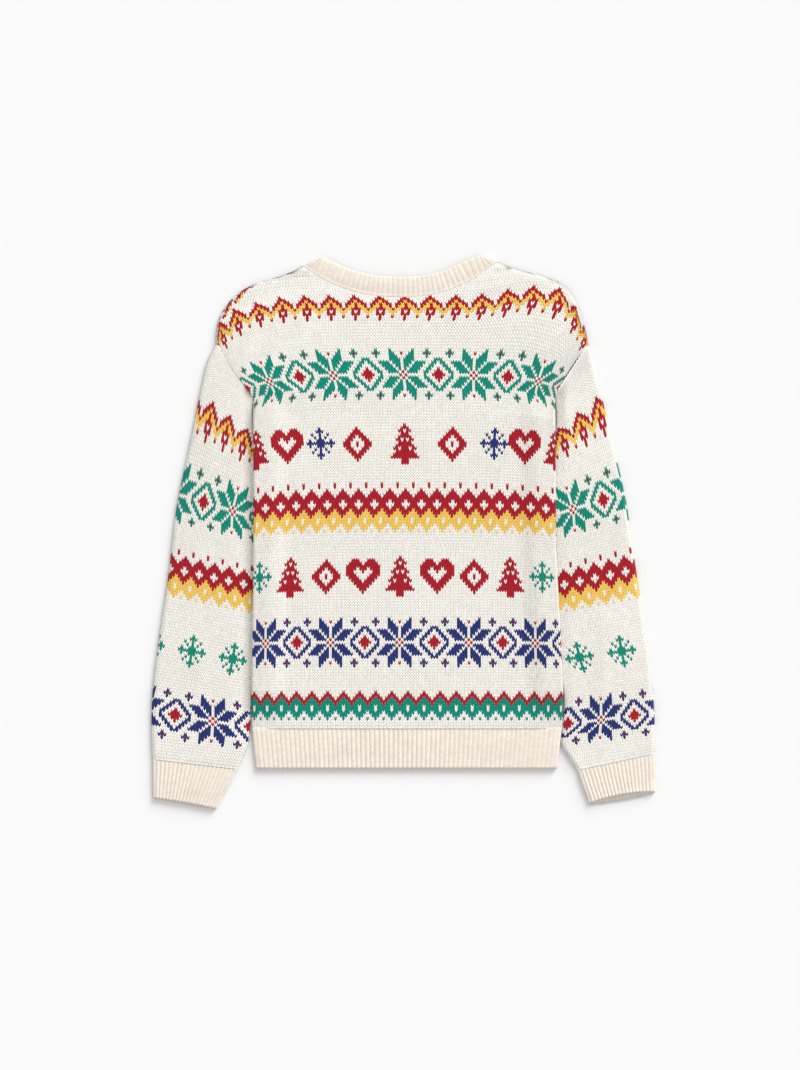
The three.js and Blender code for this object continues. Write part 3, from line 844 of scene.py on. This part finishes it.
def ribbed_tube(name, shape, ribs, rows, material):
    """A cuff or hem: a flattened tube with a ribbed outside and a plain inside, seen at its mouth."""
    count = 2 * ribs * PER_RIB
    shares = np.arange(count) / count
    ribbed = rib_profile(np.arange(count) / PER_RIB)
    depth = (1 - ribbed) * RIB_HEIGHT
    tops, feet = shape["top"], shape["foot"]
    downs = np.linspace(0, 1, rows + 1)
    rings = []
    for down in downs:
        a = np.array(tops[0]) * (1 - down) + np.array(feet[0]) * down
        b = np.array(tops[1]) * (1 - down) + np.array(feet[1]) * down
        place = ring(a, b, shares, lambda plan: np.full(len(plan), RIB_CLEARANCE))
        middle = np.array([*(a + b) / 2, MIDDLE])
        inwards = (middle - place) * [0.04, 0.04, 1]
        inwards /= np.linalg.norm(inwards, axis=1)[:, None]
        swell = RIB_SWELL * math.sin(math.pi * min(down * 1.15, 1))
        place = place + inwards * (depth * smooth(down / 0.06))[:, None]
        upper = place[:, 2] > MIDDLE
        share = np.clip((place[:, 0] - a[0]) / (b[0] - a[0]), 0, 1)
        arch = np.sin(np.pi * share) ** 0.6 * down**3
        place[:, 1] += np.where(upper, shape["setback"] * arch, -0.4 * shape["setback"] * arch)
        place[:, 2] += np.where(upper, swell + shape["gape"] * arch, 0)
        rings.append(place)
    under = rings[0].copy()
    along_piece = np.subtract(tops[0], feet[0]) / np.hypot(*np.subtract(tops[0], feet[0]))
    under[:, :2] += along_piece * RIB_LAP
    under[:, 2] = MIDDLE + (under[:, 2] - MIDDLE) * 0.7
    rings.insert(0, under)
    lip = rings[-1].copy()
    open_up = np.where(upper, shape["gape"] * arch, 0)
    lip[:, 2] = MIDDLE + open_up + (lip[:, 2] - MIDDLE - open_up) * LIP_HEIGHT_SHARE
    lip[:, :2] += (np.array([*(np.array(feet[0]) + feet[1]) / 2]) - lip[:, :2]) * 0.006 + [0, 0.3]
    inner = lip.copy()
    inner[:, 2] = MIDDLE + open_up + np.sign(inner[:, 2] - MIDDLE - open_up) * MOUTH_GAP
    back_in = inner.copy()
    back_in[:, 1] += TURN_IN
    points = np.stack([*rings, lip, inner, back_in], 1)
    faces = grid_faces(count, points.shape[1], True)[:, ::-1]
    u = np.arange(count) / PER_RIB
    v = np.concatenate([[-0.5], downs * rows, rows + np.array([0.4, 0.7, 3.5])])
    uv = np.stack(np.broadcast_arrays(u[:, None], -v[None, :]), -1).reshape(-1, 2)
    spread = np.stack([u[:, None] * WALE * np.ones(len(v)), v[None, :] * ROW * np.ones((count, 1))], -1)
    corners = {"OFBake": bake_layout(spread), "stitch": uv}
    return link(name, points, faces, material, corners)


def band_ends(t, neck_y):
    """The neckband's seam and its free edge, which comes together at the peaks."""
    here = neckline(t, neck_y)
    step = 0.01
    before, after = neckline(np.clip(t - step, 0, 1), neck_y), neckline(np.clip(t + step, 0, 1), neck_y)
    tangent = (after - before) / np.hypot(*(after - before).T)[:, None]
    normal = np.stack([-tangent[:, 1], tangent[:, 0]], -1)
    near = smooth((np.abs(2 * t - 1) - 0.7) / 0.3)[:, None]
    peak = np.where((t < 0.5)[:, None], BAND_PEAKS["left"], BAND_PEAKS["right"])
    free = (here + normal * BAND_WIDTH) * (1 - near) + peak * near
    return here, free


def neckband(name, material):
    """A ribbed strip round the neck, folded over at the two peaks, with a flat linking row at its seam."""
    per_side = NECK_RIBS * PER_RIB
    turns = 12
    back = np.arange(per_side + 1) / per_side
    fold = (np.arange(turns - 1) + 1) / turns
    parts = [
        (back, np.ones(per_side + 1), BACK_NECK_Y),
        (np.ones(turns - 1), np.cos(np.pi * fold), BACK_NECK_Y),
        (back[::-1], -np.ones(per_side + 1), FRONT_NECK_Y),
        (np.zeros(turns - 1), -np.cos(np.pi * fold), BACK_NECK_Y),
    ]
    across_steps = np.array(
        [-0.03, 0.0, 0.05, 0.1, 0.15, 0.19, 0.22, 0.3, 0.45, 0.6, 0.75, 0.88, 0.95, 0.985, 1.0, 1.0, 0.9]
    )
    drop = np.array([0.6, 0.0] + [0] * 10 + [0.15, 0.5, 1.2, 2.0, 2.2])
    body = smooth((across_steps - LINKING) / LINKING_FADE)
    roll = LINKING_ROLL * np.sin(np.pi * np.clip(across_steps / LINKING, 0, 1)) + 0.1
    beyond = np.clip((across_steps - LINKING) / (1 - LINKING), 0, 1)
    crown = BAND_CROWN * np.sin(np.pi * beyond) ** 0.7 * body
    columns = []
    position = 0
    for t, level, neck_y in parts:
        seam, free = band_ends(t, neck_y)
        for k in range(len(t)):
            place = seam[k] + (free[k] - seam[k]) * across_steps[:, None]
            reach = EDGE_SOFT / 2 * math.sqrt(max(1 - level[k] ** 2, 0)) * (1 if t[k] > 0.5 else -1)
            ribbed = rib_profile(position / PER_RIB)
            groove = (1 - ribbed) * NECK_RIB_HEIGHT * body
            high = MIDDLE + 0.5 + roll * (1 - body) + crown - groove - drop
            low = MIDDLE - groove * 0.5 - drop
            up = MIDDLE + level[k] * (high if level[k] > 0 else low)
            columns.append(np.stack([place[:, 0] + reach, place[:, 1], up], -1))
            position += 1
    points = np.stack(columns)
    faces = grid_faces(len(points), points.shape[1], True)
    u = np.arange(len(points)) / PER_RIB
    v = across_steps * BAND_WIDTH / ROW
    uv = np.stack(np.broadcast_arrays(u[:, None], v[None, :]), -1).reshape(-1, 2)
    run = np.arange(len(points)) * BAKE_BAND_LENGTH / per_side
    rise_across = np.linspace(0, BAKE_BAND_WIDTH, len(v))
    spread = np.stack([run[:, None] * np.ones(len(v)), rise_across[None, :] * np.ones((len(run), 1))], -1)
    corners = {"OFBake": bake_layout(spread), "stitch": uv}
    return link(name, points, faces, material, corners)


# Materials


class Nodes:
    """Short calls for building a node tree."""

    def __init__(self, name):
        self.material = bpy.data.materials.new(name)
        self.material.use_nodes = True
        self.tree = self.material.node_tree
        self.tree.nodes.clear()

    def add(self, kind, **settings):
        node = self.tree.nodes.new(kind)
        for key, value in settings.items():
            setattr(node, key, value)
        return node

    def set(self, socket, value):
        if isinstance(value, bpy.types.NodeSocket):
            self.tree.links.new(value, socket)
        else:
            socket.default_value = value

    def math(self, operation, *values):
        node = self.add("ShaderNodeMath", operation=operation)
        for socket, value in zip(node.inputs, values):
            self.set(socket, value)
        return node.outputs[0]

    def mix(self, factor, a, b, blend="MIX"):
        node = self.add("ShaderNodeMix", data_type="RGBA", blend_type=blend)
        self.set(node.inputs["Factor"], factor)
        self.set(node.inputs[6], a)
        self.set(node.inputs[7], b)
        return node.outputs[2]

    def noise(self, scale, detail, vector):
        node = self.add("ShaderNodeTexNoise")
        self.set(node.inputs["Scale"], scale)
        self.set(node.inputs["Detail"], detail)
        self.set(node.inputs["Vector"], vector)
        return node.outputs["Fac"]


def stitch_height(n, ribbed):
    """Height of the yarn over the stitch, and a number that is the same all over one stitch."""
    uv = n.add("ShaderNodeUVMap", uv_map="stitch").outputs["UV"]
    split = n.add("ShaderNodeSeparateXYZ")
    n.set(split.inputs[0], uv)
    across = n.math("FRACT", split.outputs["X"])
    from_middle = n.math("ABSOLUTE", n.math("SUBTRACT", across, 0.5))
    hang = n.math("MULTIPLY", n.math("SUBTRACT", 0.5, from_middle), 2 * CHEVRON)
    lifted = n.math("ADD", split.outputs["Y"], hang)
    up = n.math("FRACT", lifted)
    strand = n.math("POWER", n.math("SINE", n.math("MULTIPLY", up, math.pi)), 0.6)
    if ribbed:
        ridge = n.math("COSINE", n.math("MULTIPLY", from_middle, math.pi))
        ridge = n.math("POWER", n.math("MAXIMUM", ridge, 0.0), RIDGE_POWER)
        height = n.math("MULTIPLY", ridge, n.math("ADD", 0.9, n.math("MULTIPLY", strand, 0.1)))
    else:
        leg = n.math("SINE", n.math("MULTIPLY", from_middle, 2 * math.pi))
        leg = n.math("POWER", n.math("MAXIMUM", leg, 0.0), 0.5)
        height = n.math("MULTIPLY", n.math("ADD", 0.3, n.math("MULTIPLY", leg, 0.7)), strand)
    cell = n.add("ShaderNodeCombineXYZ")
    n.set(cell.inputs[0], n.math("FLOOR", split.outputs["X"]))
    n.set(cell.inputs[1], n.math("FLOOR", lifted))
    return height, cell.outputs[0]


def knit_material(name, colour, depth, bump):
    """Soft matt knitting, its colour darkened in the gaps between strands as painted shade, as strongly as
    depth says. A colour of None takes each stitch's own yarn.
    """
    n = Nodes(name)
    height, cell = stitch_height(n, colour is not None)
    white = n.add("ShaderNodeTexWhiteNoise", noise_dimensions="2D")
    n.set(white.inputs["Vector"], cell)
    place = n.add("ShaderNodeNewGeometry").outputs["Position"]
    hair = n.noise(1900.0, 3.0, place)
    cloud = n.noise(28.0, 2.0, place)
    if colour is None:
        base = n.add("ShaderNodeAttribute", attribute_name="yarn").outputs["Color"]
    else:
        base = (*colour, 1)
    # Painted shade: the colour darkens where the yarn lies low, in the gaps between strands, by depth
    gap = n.math("POWER", n.math("SUBTRACT", 1.0, height), 2.6)
    painted_gap_shade = n.math("SUBTRACT", 1.0, n.math("MULTIPLY", gap, depth))
    speck = n.math("ADD", 0.95, n.math("MULTIPLY", white.outputs["Value"], 0.1))
    fuzz = n.math("ADD", 0.9, n.math("MULTIPLY", hair, 0.2))
    patch = n.math("ADD", 0.96, n.math("MULTIPLY", cloud, 0.08))
    value = n.math("MULTIPLY", n.math("MULTIPLY", painted_gap_shade, speck), n.math("MULTIPLY", fuzz, patch))
    grey = n.add("ShaderNodeCombineXYZ")
    for socket in grey.inputs:
        n.set(socket, value)
    tinted = n.mix(1.0, base, grey.outputs[0], "MULTIPLY")
    shader = n.add("ShaderNodeBsdfPrincipled")
    n.set(shader.inputs["Base Color"], tinted)
    n.set(shader.inputs["Roughness"], 0.92)
    n.set(shader.inputs["Sheen Weight"], 0.08)
    n.set(shader.inputs["Sheen Roughness"], 0.6)
    n.set(shader.inputs["Specular IOR Level"], 0.1)
    relief = n.math("ADD", height, n.math("MULTIPLY", hair, 0.25))
    bump_node = n.add("ShaderNodeBump")
    n.set(bump_node.inputs["Strength"], 0.9)
    n.set(bump_node.inputs["Distance"], bump)
    n.set(bump_node.inputs["Height"], relief)
    n.set(shader.inputs["Normal"], bump_node.outputs[0])
    output = n.add("ShaderNodeOutputMaterial")
    n.set(output.inputs["Surface"], shader.outputs[0])
    return n.material


RIB_COLOUR = (0.735, 0.665, 0.58)
# The third number sets how dark the painted shade in the gaps between strands is
knit = knit_material("patterned_knit", None, 0.66, 0.0011)
rib = knit_material("rib_knit", RIB_COLOUR, 0.14, 0.00025)

back = knitted_panel("back_knit", BACK_NECK_Y, 1, knit)
front = knitted_panel("front_knit", FRONT_NECK_Y, -1, knit)
sleeve_left = knitted_sleeve("sleeve_left_knit", "left", knit)
sleeve_right = knitted_sleeve("sleeve_right_knit", "right", knit)
cuff_left = ribbed_tube("cuff_left_rib", CUFFS["left"], CUFF_RIBS, RIB_ROWS, rib)
cuff_right = ribbed_tube("cuff_right_rib", CUFFS["right"], CUFF_RIBS, RIB_ROWS, rib)
hem = ribbed_tube("hem_rib_knit", HEM, HEM_RIBS, RIB_ROWS, rib)
band = neckband("neckband_rib", rib)

for piece, node in (
    (back, "back_panel"), (front, "front_panel"),
    (sleeve_left, "sleeve_left"), (sleeve_right, "sleeve_right"),
    (cuff_left, "cuff_left"), (cuff_right, "cuff_right"),
    (hem, "hem_rib"), (band, "neckband"),
):
    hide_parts(node)

# Floor, light and camera

FLOOR_HALF = 3.0
FLOOR_DROP = 0.0004
FLOOR_SHARES = [(-1, -1), (1, -1), (1, 1), (-1, 1)]
floor_corners = [(x * FLOOR_HALF, y * FLOOR_HALF, 0) for x, y in FLOOR_SHARES]
floor_mesh = bpy.data.meshes.new("floor")
floor_mesh.from_pydata(floor_corners, [], [(0, 1, 2, 3)])
floor = bpy.data.objects.new("floor", floor_mesh)
floor.location.z = -FLOOR_DROP
bpy.context.scene.collection.objects.link(floor)
paper = Nodes("floor_paper")
paper_shader = paper.add("ShaderNodeBsdfPrincipled")
paper.set(paper_shader.inputs["Base Color"], (0.78, 0.78, 0.78, 1))
paper.set(paper_shader.inputs["Roughness"], 1.0)
paper_output = paper.add("ShaderNodeOutputMaterial")
paper.set(paper_output.inputs["Surface"], paper_shader.outputs[0])
floor_mesh.materials.append(paper.material)


def aim(thing, place, target):
    thing.location = place
    direction = np.subtract(target, place)
    flat = math.hypot(direction[0], direction[1])
    turn = math.atan2(-direction[0], direction[1]) if flat > 1e-9 else 0
    thing.rotation_euler = (math.atan2(flat, -direction[2]), 0, turn)


def lamp(name, kind, energy, place, target, **settings):
    data = bpy.data.lights.new(name, kind)
    data.energy = energy
    for key, value in settings.items():
        setattr(data, key, value)
    thing = bpy.data.objects.new(name, data)
    bpy.context.scene.collection.objects.link(thing)
    aim(thing, place, target)


lamp("key", "SUN", 3.1, (1.0, 1.4, 0.85), (0, 0, 0), angle=math.radians(36))
world = bpy.data.worlds.new("studio")
bpy.context.scene.world = world
world.use_nodes = True
world.node_tree.nodes["Background"].inputs["Color"].default_value = (1, 1, 1, 1)
world.node_tree.nodes["Background"].inputs["Strength"].default_value = 0.79

MM_PER_PIXEL = 1.25
FRAME_WIDTH, FRAME_HEIGHT = 800, 1070
HEM_PIXEL = (403.5, 769.0)
VIEW_LENS = 100.0
SENSOR = 36.0
field = FRAME_HEIGHT * MM_PER_PIXEL / 1000
camera_data = bpy.data.cameras.new("camera")
camera_data.sensor_fit = "VERTICAL"
camera_data.sensor_height = SENSOR
camera_data.lens = VIEW_LENS
camera = bpy.data.objects.new("camera", camera_data)
centre_x = ((FRAME_WIDTH / 2 - HEM_PIXEL[0]) * MM_PER_PIXEL + ORIGIN[0]) / 1000
centre_y = ((HEM_PIXEL[1] - FRAME_HEIGHT / 2) * MM_PER_PIXEL + ORIGIN[1]) / 1000
camera.location = (centre_x, centre_y, field * VIEW_LENS / SENSOR + STACK / 1000)
bpy.context.scene.collection.objects.link(camera)
bpy.context.scene.camera = camera
bpy.context.scene.view_settings.view_transform = "Standard"
